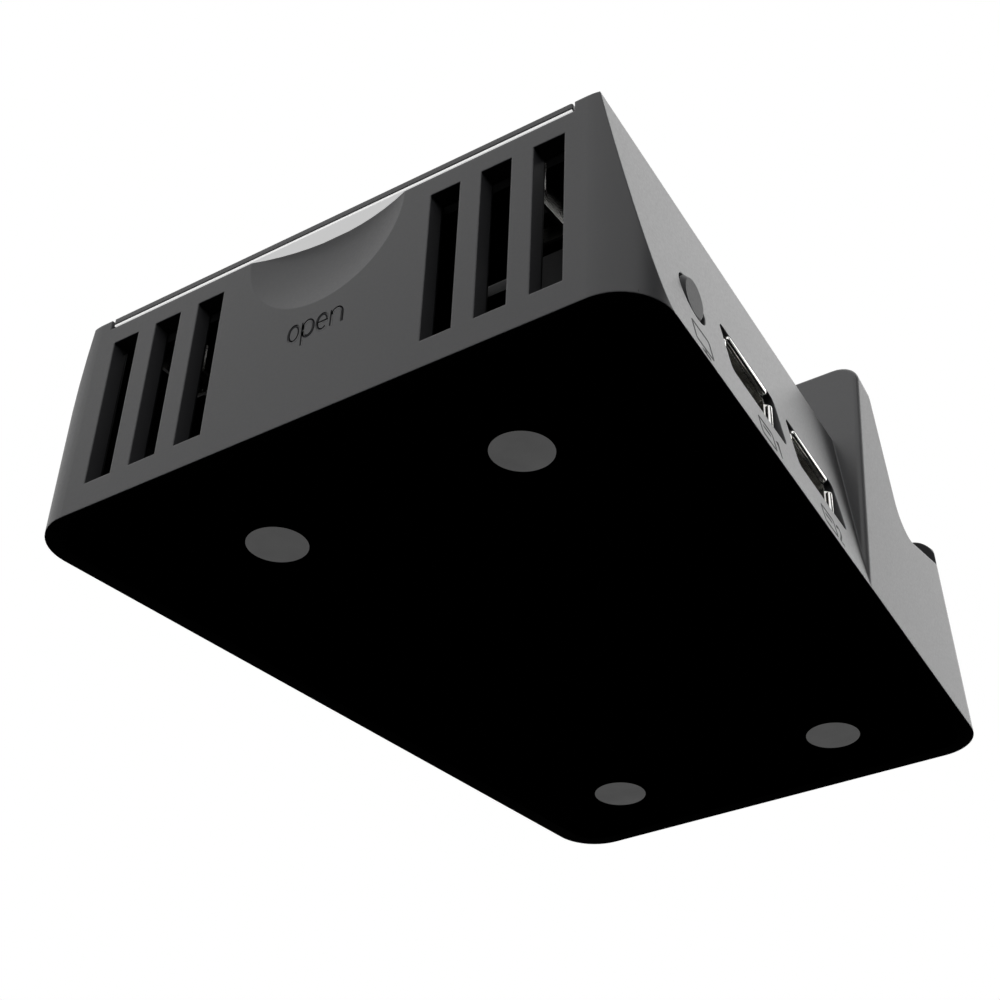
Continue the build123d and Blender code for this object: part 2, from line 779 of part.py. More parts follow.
ribbon_side = Plane.YZ * trace(ribbon_path, line_width=flex_thickness)
ribbon = extrude(ribbon_side, amount=flex_width / 2, both=True)

# Chips and coil on the board
chip_rear = rear_y - tray_rear - video_length - chip_gap
chip_side = -flex_width / 2 - ribbon_gap
hub_rear = rear_y - tray_rear - power_length - chip_gap
video_chip = box_between(
    (chip_side - chip_size, chip_side),
    (chip_rear - chip_size, chip_rear),
    (board_top, board_top + chip_height),
)
hub_chip = box_between(
    (hub_x - hub_size / 2, hub_x + hub_size / 2),
    (hub_rear - hub_size, hub_rear),
    (board_top, board_top + chip_height),
)
coil_x = rear_width / 2 - coil_inset
coil = rod(coil_radius, (coil_x, hub_rear - coil_radius), board_top, board_top + coil_height)
coil = chamfer(coil.edges().group_by(Axis.Z)[-1], 0.5)

# Pads in the slot
back_plane = Plane(origin=slot_frame.origin, x_dir=(1, 0, 0), z_dir=slot_frame.x_dir)
pad_height = wing_top_v - back_pad_drop - back_pad_start
back_pad = Pos(0, back_pad_start + pad_height / 2) * RectangleRounded(2 * back_pad_half, pad_height, 1.5)
back_pad = extrude(back_plane * back_pad, amount=pad_thickness)
floor_plane = Plane(origin=slot_frame.origin, x_dir=(1, 0, 0), z_dir=slot_frame.y_dir)
floor_pads = []
for side in (-1, 1):
    depth_mid = -(floor_pad_start + floor_pad_end) / 2
    face = Pos(side * floor_pad_x, -depth_mid if floor_plane.y_dir.Y < 0 else depth_mid) * RectangleRounded(
        floor_pad_length, floor_pad_end - floor_pad_start, 1.5
    )
    floor_pads.append(extrude(floor_plane * face, amount=pad_thickness))

parts = {
    "main_shell": shell,
    "bottom_cover": cover,
    "lid_skin": skin,
    "lid_liner": liner,
    "lid_trim": trim,
    "hinge_pin_1": pins[0],
    "hinge_pin_2": pins[1],
    "catch_spring_1": springs[0],
    "catch_spring_2": springs[1],
    "mode_button": button,
    "switch_plunger": plunger,
    "mode_switch": switch,
    "main_board": board,
    "bay_tray": tray,
    "side_port_1": port_shells[0],
    "side_port_2": port_shells[1],
    "port_tongue_1": port_blades[0],
    "port_tongue_2": port_blades[1],
    "video_port": video,
    "video_tongue": video_blade,
    "power_port": power,
    "power_tongue": power_blade,
    "plug_shell": plug,
    "plug_sleeve": sleeve,
    "plug_carrier": carrier,
    "plug_ribbon": ribbon,
    "video_chip": video_chip,
    "hub_chip": hub_chip,
    "power_coil": coil,
    "backrest_pad": back_pad,
    "floor_pad_1": floor_pads[0],
    "floor_pad_2": floor_pads[1],
}
for i, place in enumerate(feet):
    parts["foot_" + str(i + 1)] = rod(foot_radius, place, 0, pocket_top)
    head = rod(screw_head, place, pocket_top, head_top)
    shank = rod(screw_radius, place, head_top - 0.1, head_top + screw_length)
    parts["cover_screw_" + str(i + 1)] = head + shank

for name, piece in parts.items():
    export_step(piece, "parts/" + name + ".step")
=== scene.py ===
import bmesh
import bpy
import math
from mathutils import Matrix, Vector


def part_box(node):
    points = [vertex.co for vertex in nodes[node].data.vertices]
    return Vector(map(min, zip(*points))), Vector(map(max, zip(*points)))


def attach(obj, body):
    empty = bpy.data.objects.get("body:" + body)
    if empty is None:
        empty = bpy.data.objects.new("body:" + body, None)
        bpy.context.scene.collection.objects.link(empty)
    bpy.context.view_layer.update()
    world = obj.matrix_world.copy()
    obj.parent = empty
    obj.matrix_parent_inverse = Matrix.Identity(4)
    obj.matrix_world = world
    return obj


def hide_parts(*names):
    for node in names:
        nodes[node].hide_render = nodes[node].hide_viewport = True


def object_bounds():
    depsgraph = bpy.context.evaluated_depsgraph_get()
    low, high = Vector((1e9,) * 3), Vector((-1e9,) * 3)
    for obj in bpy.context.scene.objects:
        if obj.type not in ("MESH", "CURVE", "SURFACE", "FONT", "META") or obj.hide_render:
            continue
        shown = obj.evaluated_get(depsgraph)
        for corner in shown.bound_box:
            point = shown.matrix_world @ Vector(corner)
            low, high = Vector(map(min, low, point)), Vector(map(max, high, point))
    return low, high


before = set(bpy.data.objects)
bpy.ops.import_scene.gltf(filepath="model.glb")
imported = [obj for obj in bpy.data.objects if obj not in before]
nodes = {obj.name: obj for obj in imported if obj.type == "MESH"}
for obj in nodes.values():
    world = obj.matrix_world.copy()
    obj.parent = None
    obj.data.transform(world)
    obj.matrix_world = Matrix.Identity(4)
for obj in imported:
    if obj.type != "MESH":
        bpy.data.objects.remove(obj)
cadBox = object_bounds()
millimetre = 0.001


# helpers
def linear(hexColour):
    # sRGB hex to the linear values that the shader takes
    values = []
    for start in (1, 3, 5):
        part = int(hexColour[start:start + 2], 16) / 255
        values.append(part / 12.92 if part <= 0.04045 else ((part + 0.055) / 1.055) ** 2.4)
    return (values[0], values[1], values[2], 1.0)


def addNode(tree, kind, settings=None, values=None, links=None):
    # one node with its settings, its socket values and what feeds it
    node = tree.nodes.new(kind)
    for name, value in (settings or {}).items():
        setattr(node, name, value)
    for name, value in (values or {}).items():
        node.inputs[name].default_value = value
    for name, source in (links or {}).items():
        tree.links.new(source, node.inputs[name])
    return node


def mathNode(tree, operation, first, second):
    # a sum or test of two numbers or sockets
    node = addNode(tree, "ShaderNodeMath", {"operation": operation})
    for slot, source in ((0, first), (1, second)):
        if isinstance(source, (int, float)):
            node.inputs[slot].default_value = source
        else:
            tree.links.new(source, node.inputs[slot])
    return node.outputs[0]


def newMaterial(name):
    # an empty material with its node tree
    material = bpy.data.materials.new(name)
    material.use_nodes = True
    material.node_tree.nodes.clear()
    return material, material.node_tree


def finishMaterial(tree, shader):
    addNode(tree, "ShaderNodeOutputMaterial", links={"Surface": shader.outputs[0]})


def setFinish(nodeNames, material):
    # CAD nodes keep their mesh and take a new material
    for name in nodeNames:
        slots = nodes[name].data.materials
        slots.clear()
        slots.append(material)
        faces = nodes[name].data.polygons
        faces.foreach_set("material_index", [0] * len(faces))


def addPiece(name, mesh, body, material):
    # a finished mesh, its faces turned outwards, becomes a piece at the origin that moves with its body
    shells = bmesh.new()
    shells.from_mesh(mesh)
    bmesh.ops.recalc_face_normals(shells, faces=shells.faces)
    shells.to_mesh(mesh)
    shells.free()
    mesh.name = name
    mesh.materials.clear()
    mesh.materials.append(material)
    piece = bpy.data.objects.new(name, mesh)
    bpy.context.scene.collection.objects.link(piece)
    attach(piece, body)
    return piece


def meshFrom(name, vertices, faces):
    # a mesh from points in metres and faces by number
    mesh = bpy.data.meshes.new(name)
    mesh.from_pydata([tuple(v) for v in vertices], [], faces)
    mesh.update()
    return mesh


def joinMeshes(name, meshes):
    # several meshes as one, each face as smooth as it was
    vertices, faces, smooth = [], [], []
    for mesh in meshes:
        start = len(vertices)
        vertices += [v.co for v in mesh.vertices]
        faces += [[start + i for i in face.vertices] for face in mesh.polygons]
        smooth += [face.use_smooth for face in mesh.polygons]
    joined = meshFrom(name, vertices, faces)
    joined.polygons.foreach_set("use_smooth", smooth)
    return joined


def boxCentre(nodeName):
    # centre and corners of a CAD node's box
    low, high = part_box(nodeName)
    return (Vector(low) + Vector(high)) / 2, Vector(low), Vector(high)


print("frame loaded")


# camera
view = {
    "place": (-0.10376, 0.16124, -0.11318),   # below the table top, behind the port side
    "look": (0.4219, -0.6791, 0.6007),
    "lens": 63.63,
    "sensor": 36.0,
    "shift": (-0.1009, -0.0506),
    "clip": (0.005, 50.0),
}
cameraData = bpy.data.cameras.new("photoCamera")
cameraData.lens = view["lens"]
cameraData.sensor_width = view["sensor"]
cameraData.shift_x, cameraData.shift_y = view["shift"]
cameraData.clip_start, cameraData.clip_end = view["clip"]
camera = bpy.data.objects.new("photoCamera", cameraData)
camera.location = view["place"]
camera.rotation_euler = Vector(view["look"]).to_track_quat("-Z", "Y").to_euler()
bpy.context.scene.collection.objects.link(camera)
bpy.context.scene.camera = camera
print("camera set")


# stage and light: a white room above a floor that is dark to all but the camera
studio = {
    "floorSize": 12.0,
    "fadeFrom": 0.35,          # the floor runs out into the white ground
    "fadeTo": 1.3,
    "floorDrop": 0.0002,       # just under the feet, which rest on it
    "paleFloor": "#E6E6E6",
    "darkFloor": "#101010",
    "floorGlow": 0.16,         # faint light from under the feet, as from a light table
    "glowReach": 0.0007,       # it lights only what stands on the floor
    "worldStrength": 0.99,
    "flagPlace": (-0.755, -0.352, 0.553),   # a black flag beside the ports, which darkens the corner
    "flagEdge": 0.79,
    "flagCore": 0.89,
    "flagStrength": 0.08,
    "keyPower": 3.75,
    "keySize": 1.0,
    "keyPlace": (-0.16, -0.80, 0.72),
    "keyTarget": (0, 0, 0.02),
}
pureWhite = (1, 1, 1, 1)
bpy.context.scene.view_settings.view_transform = "Standard"

world = bpy.data.worlds.new("studioWorld")
bpy.context.scene.world = world
world.use_nodes = True
tree = world.node_tree
tree.nodes.clear()
path = addNode(tree, "ShaderNodeLightPath")
seen = mathNode(tree, "MAXIMUM", path.outputs["Is Camera Ray"], path.outputs["Is Transmission Ray"])
away = addNode(tree, "ShaderNodeTexCoord")
toFlag = addNode(tree, "ShaderNodeVectorMath", {"operation": "DOT_PRODUCT"}, {1: studio["flagPlace"]},
                 {0: away.outputs["Generated"]})
sky = addNode(tree, "ShaderNodeMapRange", {"interpolation_type": "SMOOTHSTEP"}, {
    "From Min": studio["flagEdge"], "From Max": studio["flagCore"],
    "To Min": studio["worldStrength"], "To Max": studio["flagStrength"]},
    {"Value": toFlag.outputs["Value"]})
lit = addNode(tree, "ShaderNodeBackground", values={"Color": pureWhite},
              links={"Strength": sky.outputs["Result"]})
white = addNode(tree, "ShaderNodeBackground", values={"Color": pureWhite, "Strength": 1.0})
mix = addNode(tree, "ShaderNodeMixShader", links={"Fac": seen, 1: lit.outputs[0], 2: white.outputs[0]})
addNode(tree, "ShaderNodeOutputWorld", links={"Surface": mix.outputs[0]})

half = studio["floorSize"] / 2
drop = -studio["floorDrop"]
corners = [(x * half, y * half, drop) for x, y in ((-1, -1), (1, -1), (1, 1), (-1, 1))]
floorMesh = meshFrom("studioFloor", corners, [(0, 1, 2, 3)])
floor = bpy.data.objects.new("studioFloor", floorMesh)
bpy.context.scene.collection.objects.link(floor)
floorPaint, tree = newMaterial("matteStudioFloor")
path = addNode(tree, "ShaderNodeLightPath")
facing = addNode(tree, "ShaderNodeNewGeometry")
pale = addNode(tree, "ShaderNodeBsdfDiffuse", values={"Color": linear(studio["paleFloor"])})
dark = addNode(tree, "ShaderNodeBsdfDiffuse", values={"Color": linear(studio["darkFloor"])})
near = mathNode(tree, "LESS_THAN", path.outputs["Ray Length"], studio["glowReach"])
glow = addNode(tree, "ShaderNodeEmission", values={"Color": pureWhite},
               links={"Strength": mathNode(tree, "MULTIPLY", near, studio["floorGlow"])})
unseen = addNode(tree, "ShaderNodeAddShader", links={0: dark.outputs[0], 1: glow.outputs[0]})
far = addNode(tree, "ShaderNodeVectorMath", {"operation": "LENGTH"}, links={0: facing.outputs["Position"]})
fade = addNode(tree, "ShaderNodeMapRange", {"interpolation_type": "SMOOTHSTEP"}, {
    "From Min": studio["fadeFrom"], "From Max": studio["fadeTo"]}, {"Value": far.outputs["Value"]})
ground = addNode(tree, "ShaderNodeEmission", values={"Color": pureWhite, "Strength": 1.0})
shown = addNode(tree, "ShaderNodeMixShader",
                links={"Fac": fade.outputs["Result"], 1: pale.outputs[0], 2: ground.outputs[0]})
solid = addNode(tree, "ShaderNodeMixShader",
                links={"Fac": path.outputs["Is Camera Ray"], 1: unseen.outputs[0], 2: shown.outputs[0]})
clear = addNode(tree, "ShaderNodeBsdfTransparent")   # seen from below, as in the photograph
oneSided = addNode(tree, "ShaderNodeMixShader",
                   links={"Fac": facing.outputs["Backfacing"], 1: solid.outputs[0], 2: clear.outputs[0]})
finishMaterial(tree, oneSided)
floorMesh.materials.append(floorPaint)

keyData = bpy.data.lights.new("softKey", "AREA")
keyData.energy = studio["keyPower"]
keyData.size = studio["keySize"]
key = bpy.data.objects.new("softKey", keyData)
key.location = studio["keyPlace"]
aim = Vector(studio["keyTarget"]) - Vector(studio["keyPlace"])
key.rotation_euler = aim.to_track_quat("-Z", "Y").to_euler()
bpy.context.scene.collection.objects.link(key)
print("stage and light set")


# the housing's side, which closes in to the front and leans inwards
side = {
    "taper": math.radians(4.96),
    "lean": math.radians(10.4),
    "rim": 0.95,
    "corner": 6.2,   # rounding of the rear corners, which keeps the box inside the sides' planes
    "rearY": cadBox[1][1] / millimetre,
}
cutOff = side["corner"] * (math.tan(side["taper"]) + 1 / math.cos(side["taper"]) - 1)
side["halfWidth"] = cadBox[1][0] / millimetre + cutOff
sideForward = Vector((math.sin(side["taper"]), -math.cos(side["taper"]), 0))
sideOut = Vector((-math.cos(side["taper"]), -math.sin(side["taper"]), 0))
sideNormal = sideOut * math.cos(side["lean"]) + Vector((0, 0, math.sin(side["lean"])))
sideUp = sideNormal.cross(sideForward)


def onSide(along, height, out):
    # a point by its distance from the rear corner, its height and how far it stands out, in millimetres
    corner = Vector((-side["halfWidth"], side["rearY"], side["rim"]))
    rise = (height - side["rim"]) / math.cos(side["lean"])
    return (corner + sideForward * along + sideUp * rise + sideNormal * out) * millimetre


def onRear(along, height, out):
    # the same for the rear wall, with along running towards the port side
    return Vector((-along, side["rearY"] + out, height)) * millimetre


# finishes
# spread of the gloss, lines of the plating, and the curve across an engraved stroke
texture = {"glossSpread": 0.04, "metalSpread": 0.05, "metalStretch": 12.0, "metalBump": 0.15,
           "metalRelief": 0.01, "grooveCurve": 1.5, "flatFrom": 0.5}
# where the housing's inner faces lie, which take painted shade, in millimetres from its outer faces and
# above the table
cavity = {"sideDepth": 1.7, "rearDepth": 2.05, "length": 68.0, "low": 1.2, "high": 28.2}


def insideMask(tree, place):
    # 1 on the housing's inner faces, where shade is painted, 0 on its outer faces and just behind them
    scaled = addNode(tree, "ShaderNodeVectorMath", {"operation": "SCALE"}, {"Scale": 1 / millimetre},
                     {0: place.outputs["Object"]})
    axes = addNode(tree, "ShaderNodeSeparateXYZ", links={0: scaled.outputs[0]})
    fromRear = mathNode(tree, "SUBTRACT", side["rearY"], axes.outputs["Y"])
    closing = mathNode(tree, "MULTIPLY", fromRear, math.tan(side["taper"]))
    leaning = mathNode(tree, "MULTIPLY", axes.outputs["Z"], math.tan(side["lean"]))
    narrowing = mathNode(tree, "ADD", closing, leaning)
    limit = mathNode(tree, "SUBTRACT", side["halfWidth"] - cavity["sideDepth"], narrowing)
    mask = mathNode(tree, "GREATER_THAN", limit, mathNode(tree, "ABSOLUTE", axes.outputs["X"], 0.0))
    for test, value, edge in (("GREATER_THAN", fromRear, cavity["rearDepth"]),
                              ("LESS_THAN", fromRear, cavity["length"]),
                              ("GREATER_THAN", axes.outputs["Z"], cavity["low"]),
                              ("LESS_THAN", axes.outputs["Z"], cavity["high"])):
        mask = mathNode(tree, "MULTIPLY", mask, mathNode(tree, test, value, edge))
    return mask


def blend(tree, factor, first, second):
    # two colours or sockets mixed by a socket
    mixed = addNode(tree, "ShaderNodeMix", {"data_type": "RGBA"}, links={"Factor": factor})
    for slot, source in (("A", first), ("B", second)):
        if isinstance(source, tuple):
            mixed.inputs[slot].default_value = source
        else:
            tree.links.new(source, mixed.inputs[slot])
    return mixed


def mouldedPlastic(name, look):
    # an injection moulding takes the mould's spark-eroded grain: a fine matt pebble and a soft sheen
    material, tree = newMaterial(name)
    place = addNode(tree, "ShaderNodeTexCoord")
    grain = addNode(tree, "ShaderNodeTexNoise", values={
        "Scale": 1 / (look["grain"] * millimetre), "Detail": 2.0, "Roughness": 0.6},
        links={"Vector": place.outputs["Object"]})
    cloud = addNode(tree, "ShaderNodeTexNoise", values={
        "Scale": 1 / (look["flow"] * millimetre), "Detail": 3.0, "Roughness": 0.5},
        links={"Vector": place.outputs["Object"]})
    shade = addNode(tree, "ShaderNodeMapRange", values={"From Min": 0.3, "From Max": 0.7},
                    links={"Value": cloud.outputs["Fac"]})
    colour = blend(tree, shade.outputs["Result"], linear(look["dark"]), linear(look["light"]))
    gloss = addNode(tree, "ShaderNodeMapRange", values={
        "From Min": 0.25, "From Max": 0.75,
        "To Min": look["roughness"] - texture["glossSpread"],
        "To Max": look["roughness"] + texture["glossSpread"]},
        links={"Value": grain.outputs["Fac"]})
    bump = addNode(tree, "ShaderNodeBump", values={
        "Strength": look["bump"], "Distance": look["relief"] * millimetre},
        links={"Height": grain.outputs["Fac"]})
    shader = addNode(tree, "ShaderNodeBsdfPrincipled", values={
        "IOR": look["ior"], "Specular IOR Level": look["specular"]},
        links={"Base Color": colour.outputs["Result"], "Roughness": gloss.outputs["Result"],
               "Normal": bump.outputs["Normal"]})
    if "edge" in look:
        # every edge of a moulding has a small radius
        bevel = addNode(tree, "ShaderNodeBevel", {"samples": 6}, {"Radius": look["edge"] * millimetre})
        tree.links.new(bevel.outputs["Normal"], bump.inputs["Normal"])
    if "inside" in look:
        # painted shade: the inner faces are darkened and lose sheen, as the photograph shows hardly any
        # light in the slots
        mask = insideMask(tree, place)
        paintedShadeColour = blend(tree, mask, colour.outputs["Result"], linear(look["inside"]))
        tree.links.new(paintedShadeColour.outputs["Result"], shader.inputs["Base Color"])
        level = addNode(tree, "ShaderNodeMapRange", values={
            "To Min": look["specular"], "To Max": look["insideSpecular"]}, links={"Value": mask})
        tree.links.new(level.outputs["Result"], shader.inputs["Specular IOR Level"])
    if "groove" in look:
        # engraved strokes: the stroke's own UV gives a round groove across it
        across = addNode(tree, "ShaderNodeSeparateXYZ", links={0: place.outputs["UV"]})
        offset = mathNode(tree, "ABSOLUTE", mathNode(tree, "SUBTRACT", across.outputs["Y"], 0.5), 0.0)
        curve = mathNode(tree, "POWER", offset, texture["grooveCurve"])
        groove = addNode(tree, "ShaderNodeBump", values={
            "Strength": 1.0, "Distance": look["groove"] * millimetre}, links={"Height": curve})
        tree.links.new(groove.outputs["Normal"], bump.inputs["Normal"])
        # the stroke's own shadow lies over the part of it past this share of its width
        shadow = addNode(tree, "ShaderNodeMapRange", {"interpolation_type": "SMOOTHSTEP"}, {
            "From Min": look["shadowFrom"], "From Max": look["shadowFull"],
            "To Min": look["specular"], "To Max": 0.0}, {"Value": across.outputs["Y"]})
        tree.links.new(shadow.outputs["Result"], shader.inputs["Specular IOR Level"])
    # painted light: the surface glows, though it is no lamp
    if "glow" in look:
        shader.inputs["Emission Color"].default_value = pureWhite
        shader.inputs["Emission Strength"].default_value = look["glow"]
    if "paintedSideShade" in look:
        # the foot's upright sides are painted near black and lose their sheen: painted shade round its
        # sides
        facing = addNode(tree, "ShaderNodeNewGeometry")
        tilt = addNode(tree, "ShaderNodeSeparateXYZ", links={0: facing.outputs["Normal"]})
        upright = mathNode(tree, "ABSOLUTE", tilt.outputs["Z"], 0.0)
        flat = mathNode(tree, "GREATER_THAN", upright, texture["flatFrom"])
        paintedSideShade = blend(tree, flat, linear(look["paintedSideShade"]), colour.outputs["Result"])
        tree.links.new(paintedSideShade.outputs["Result"], shader.inputs["Base Color"])
        sheen = mathNode(tree, "MULTIPLY", flat, look["specular"])
        tree.links.new(sheen, shader.inputs["Specular IOR Level"])
    finishMaterial(tree, shader)
    return material


def platedMetal(name, look):
    # stamped strip, drawn through the die and plated: bright, with faint lines
    material, tree = newMaterial(name)
    place = addNode(tree, "ShaderNodeTexCoord")
    stretch = addNode(tree, "ShaderNodeMapping", values={"Scale": (1.0, 1.0, texture["metalStretch"])},
                      links={"Vector": place.outputs["Object"]})
    lines = addNode(tree, "ShaderNodeTexNoise", values={
        "Scale": 1 / (look["lines"] * millimetre), "Detail": 3.0},
        links={"Vector": stretch.outputs["Vector"]})
    colour = blend(tree, lines.outputs["Fac"], linear(look["dark"]), linear(look["light"]))
    gloss = addNode(tree, "ShaderNodeMapRange", values={
        "From Min": 0.3, "From Max": 0.7,
        "To Min": look["roughness"] - texture["metalSpread"],
        "To Max": look["roughness"] + texture["metalSpread"]},
        links={"Value": lines.outputs["Fac"]})
    bump = addNode(tree, "ShaderNodeBump", values={
        "Strength": texture["metalBump"], "Distance": texture["metalRelief"] * millimetre},
        links={"Height": lines.outputs["Fac"]})
    shader = addNode(tree, "ShaderNodeBsdfPrincipled", values={"Metallic": 1.0},
                     links={"Base Color": colour.outputs["Result"], "Roughness": gloss.outputs["Result"],
                            "Normal": bump.outputs["Normal"]})
    finishMaterial(tree, shader)
    return material


# the housing's inner faces take painted shade: a near-black colour and a lower sheen
housingLook = {"dark": "#363638", "light": "#3B3B3D", "roughness": 0.42, "ior": 1.53, "specular": 0.5,
               "grain": 0.35, "flow": 30.0, "bump": 0.25, "relief": 0.02,
               "edge": 0.3, "inside": "#131314", "insideSpecular": 0.2}
markLook = {"dark": "#363638", "light": "#3B3B3D", "roughness": 0.42, "ior": 1.53, "specular": 0.5,
            "grain": 0.35, "flow": 30.0, "bump": 0.2, "relief": 0.02, "groove": 1.2,
            "shadowFrom": 0.25, "shadowFull": 0.6}
cutShadeLook = {"dark": "#050505", "light": "#070707", "roughness": 0.5, "ior": 1.5, "specular": 0.04,
           "grain": 0.35, "flow": 30.0, "bump": 0.2, "relief": 0.02}
coverLook = {"dark": "#010101", "light": "#020202", "roughness": 0.6, "ior": 1.5, "specular": 0.03,
             "grain": 0.5, "flow": 40.0, "bump": 0.3, "relief": 0.02}
linerLook = {"dark": "#121213", "light": "#161618", "roughness": 0.55, "ior": 1.5, "specular": 0.25,
             "grain": 0.6, "flow": 30.0, "bump": 0.15, "relief": 0.01}
# the trim's glow is painted light
trimLook = {"dark": "#EDEDEB", "light": "#F2F2F0", "roughness": 0.4, "ior": 1.5, "specular": 0.5,
            "grain": 0.6, "flow": 30.0, "bump": 0.1, "relief": 0.01, "glow": 0.55}
buttonLook = {"dark": "#303032", "light": "#353537", "roughness": 0.5, "ior": 1.5, "specular": 0.32,
              "grain": 0.3, "flow": 10.0, "bump": 0.2, "relief": 0.02, "edge": 0.25}
footLook = {"dark": "#B4B4B4", "light": "#BEBEBE", "roughness": 0.85, "ior": 1.45, "specular": 0.3,
            "grain": 0.2, "flow": 4.0, "bump": 0.4, "relief": 0.03, "paintedSideShade": "#030303"}
padLook = {"dark": "#1C1C1D", "light": "#232324", "roughness": 0.9, "ior": 1.45, "specular": 0.2,
           "grain": 0.25, "flow": 5.0, "bump": 0.6, "relief": 0.04}
blackPlasticLook = {"dark": "#101011", "light": "#161617", "roughness": 0.4, "ior": 1.5, "specular": 0.5,
                    "grain": 0.4, "flow": 6.0, "bump": 0.1, "relief": 0.01}
boardLook = {"dark": "#0F3B24", "light": "#144A2D", "roughness": 0.35, "ior": 1.55, "specular": 0.5,
             "grain": 0.9, "flow": 3.0, "bump": 0.3, "relief": 0.03}
filmLook = {"dark": "#8A4A12", "light": "#9C5618", "roughness": 0.3, "ior": 1.6, "specular": 0.5,
            "grain": 1.0, "flow": 4.0, "bump": 0.1, "relief": 0.01}
steelLook = {"dark": "#D6D5D1", "light": "#EDECE8", "roughness": 0.22, "lines": 0.6}
polishedLook = {"dark": "#F0EFEC", "light": "#FAFAF8", "roughness": 0.15, "lines": 0.6}
goldLook = {"dark": "#C99A3E", "light": "#E0B556", "roughness": 0.25, "lines": 0.3}

# matt ABS: dark, with a broad pale sheen; its inner faces carry painted shade
housingFinish = mouldedPlastic("texturedAbsHousing", housingLook)
# the same ABS, cut by the mould's raised letters
markFinish = mouldedPlastic("engravedAbsMark", markLook)
# a narrow cut in it, painted near black and without sheen: painted shade in the cut
cutShadeFinish = mouldedPlastic("paintedShadeAbsMark", cutShadeLook)
# carbon black ABS, near black, its colour also painted shade of the underside, where little light falls
coverFinish = mouldedPlastic("blackAbsCoverAndShade", coverLook)
# plain dark ABS inside the lid and the bay
linerFinish = mouldedPlastic("darkAbsLiner", linerLook)
# opal polycarbonate, a guess: pale, with painted glow, though it is no lamp, at a level that matches the
# photograph's
trimFinish = mouldedPlastic("palePaintedGlowTrim", trimLook)
# satin ABS, softer in its sheen than the housing
buttonFinish = mouldedPlastic("satinAbsButton", buttonLook)
# die-cut silicone: dull, slightly dusty; its upright sides carry painted shade
footFinish = mouldedPlastic("greySiliconeFeet", footLook)
# soft black silicone without sheen
padFinish = mouldedPlastic("softSiliconePad", padLook)
# glass-filled liquid crystal polymer of sockets and chips: black, satin
blackPlasticFinish = mouldedPlastic("liquidCrystalPolymer", blackPlasticLook)
# glass fibre board under green solder mask
boardFinish = mouldedPlastic("solderMaskedBoard", boardLook)
# amber film of a flexible circuit
filmFinish = mouldedPlastic("polyimideFilm", filmLook)
# stamped steel under nickel
steelFinish = platedMetal("nickelPlatedSteel", steelLook)
# spring bronze under gold
goldFinish = platedMetal("goldPlatedBronze", goldLook)
# the lips' rolled steel, burnished by plugs
polishedFinish = platedMetal("burnishedSteelLip", polishedLook)

setFinish(["main_shell", "lid_skin"], housingFinish)
setFinish(["bottom_cover"], coverFinish)
setFinish(["lid_liner", "bay_tray"], linerFinish)
setFinish(["lid_trim"], trimFinish)
setFinish(["mode_button"], buttonFinish)
setFinish(["foot_" + str(i) for i in range(1, 5)], footFinish)
setFinish(["backrest_pad", "floor_pad_1", "floor_pad_2", "plug_sleeve"], padFinish)
setFinish(["port_tongue_1", "port_tongue_2", "video_tongue", "power_tongue", "plug_carrier",
           "switch_plunger", "mode_switch", "video_chip", "hub_chip", "power_coil"], blackPlasticFinish)
setFinish(["main_board"], boardFinish)
setFinish(["plug_ribbon"], filmFinish)
setFinish(["side_port_1", "side_port_2", "video_port", "power_port", "plug_shell", "hinge_pin_1",
           "hinge_pin_2", "catch_spring_1", "catch_spring_2"], steelFinish)
setFinish(["cover_screw_" + str(i) for i in range(1, 5)], steelFinish)
print("finishes set")


# marks in the rear wall and the port side
def arc(centre, radii, start, end, steps=14):
    # points round part of an ellipse, angles in degrees
    points = []
    for i in range(steps + 1):
        angle = math.radians(start + (end - start) * i / steps)
        points.append((centre[0] + radii[0] * math.cos(angle), centre[1] + radii[1] * math.sin(angle)))
    return points


# depth of a stroke, ends that count as one point, limit of a mitre, and the UV across its four faces
sunk = 0.2
samePoint = 1e-6
mitreLimit = 0.5
strokeSides = ((0, (1, 0, 0, 1)), (1, (0, 0, 0, 0)), (2, (0, 1, 1, 0)), (3, (1, 1, 1, 1)))


def strokeMesh(name, strokes, spot, width, proud):
    # each stroke is a flat ribbon sunk in the wall, with its UV running across it
    vertices, faces, across = [], [], []
    for stroke in strokes:
        closed = math.dist(stroke[0], stroke[-1]) < samePoint
        points = [Vector(p) for p in (stroke[:-1] if closed else stroke)]
        start = len(vertices)
        for i, point in enumerate(points):
            before = points[i - 1] if closed or i > 0 else point
            after = points[(i + 1) % len(points)] if closed or i < len(points) - 1 else point
            along = (after - before).normalized()
            inward = (point - before).normalized() if before != point else along
            reach = width / 2 / max(mitreLimit, along.dot(inward))
            sideways = Vector((-along.y, along.x)) * reach
            for offset, out in ((1, proud), (-1, proud), (-1, -sunk), (1, -sunk)):
                p = point + sideways * offset
                vertices.append(spot(p.x, p.y, out))
        count = len(points)
        for i in range(count if closed else count - 1):
            a, b = start + 4 * i, start + 4 * ((i + 1) % count)
            for edge, values in strokeSides:
                near, far = edge, (edge + 1) % 4
                faces.append((a + near, a + far, b + far, b + near))
                across.append(values)
        if not closed:
            last = start + 4 * (count - 1)
            faces += [(start, start + 3, start + 2, start + 1), (last, last + 1, last + 2, last + 3)]
            across += [(0, 0, 0, 0), (0, 0, 0, 0)]
    mesh = meshFrom(name, vertices, faces)
    uv = mesh.uv_layers.new(name="across")
    for face, values in zip(mesh.polygons, across):
        for loop, value in zip(face.loop_indices, values):
            uv.data[loop].uv = (0.5, value)
    return mesh


# the word on the rear wall, in millimetres: along runs towards the port side
word = {"left": -3.6, "low": 12.5, "high": 14.75, "tail": 1.0, "pitch": 2.0, "width": 1.5,
        "shoulder": 0.15, "line": 0.38, "proud": 0.012}


